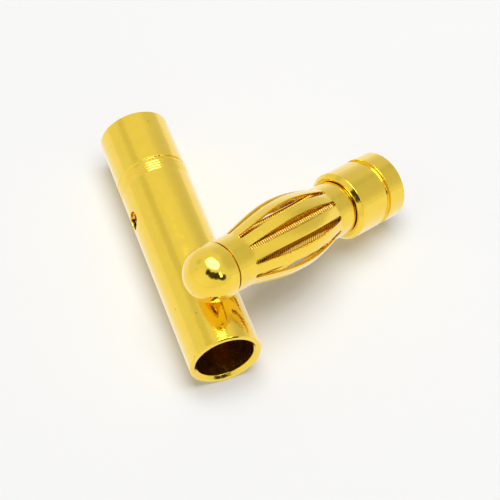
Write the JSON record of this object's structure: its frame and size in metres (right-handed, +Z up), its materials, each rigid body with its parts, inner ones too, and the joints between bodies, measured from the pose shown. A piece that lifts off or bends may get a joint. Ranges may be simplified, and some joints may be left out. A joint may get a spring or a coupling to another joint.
{
  "type": "bullet battery connector",
  "caption": "Gold plated bullet connector for battery leads: a hollow socket tube with a solder cup, and a plug pin with a slotted, bulging spring cage resting on it.",
  "frame": {"origin": "centre of the socket tube's mouth, on the axis of its contact bore", "axes": "+Y along the socket tube from its mouth to its solder end, +Z up; both halves lie on a surface one tube radius below the origin, and the plug's rear points to +X and a little to +Y"},
  "size_m": [0.0185, 0.02, 0.009],
  "materials": {
    "socket": "polished gold plate over turned brass",
    "plug": "polished gold plate over turned brass",
    "cage": "polished gold plate over rolled spring strip"
  },
  "bodies": {
    "root": {"socket_tube": "socket", "plug_pin": "plug", "spring_cage": "cage"}
  },
  "joints": []
}
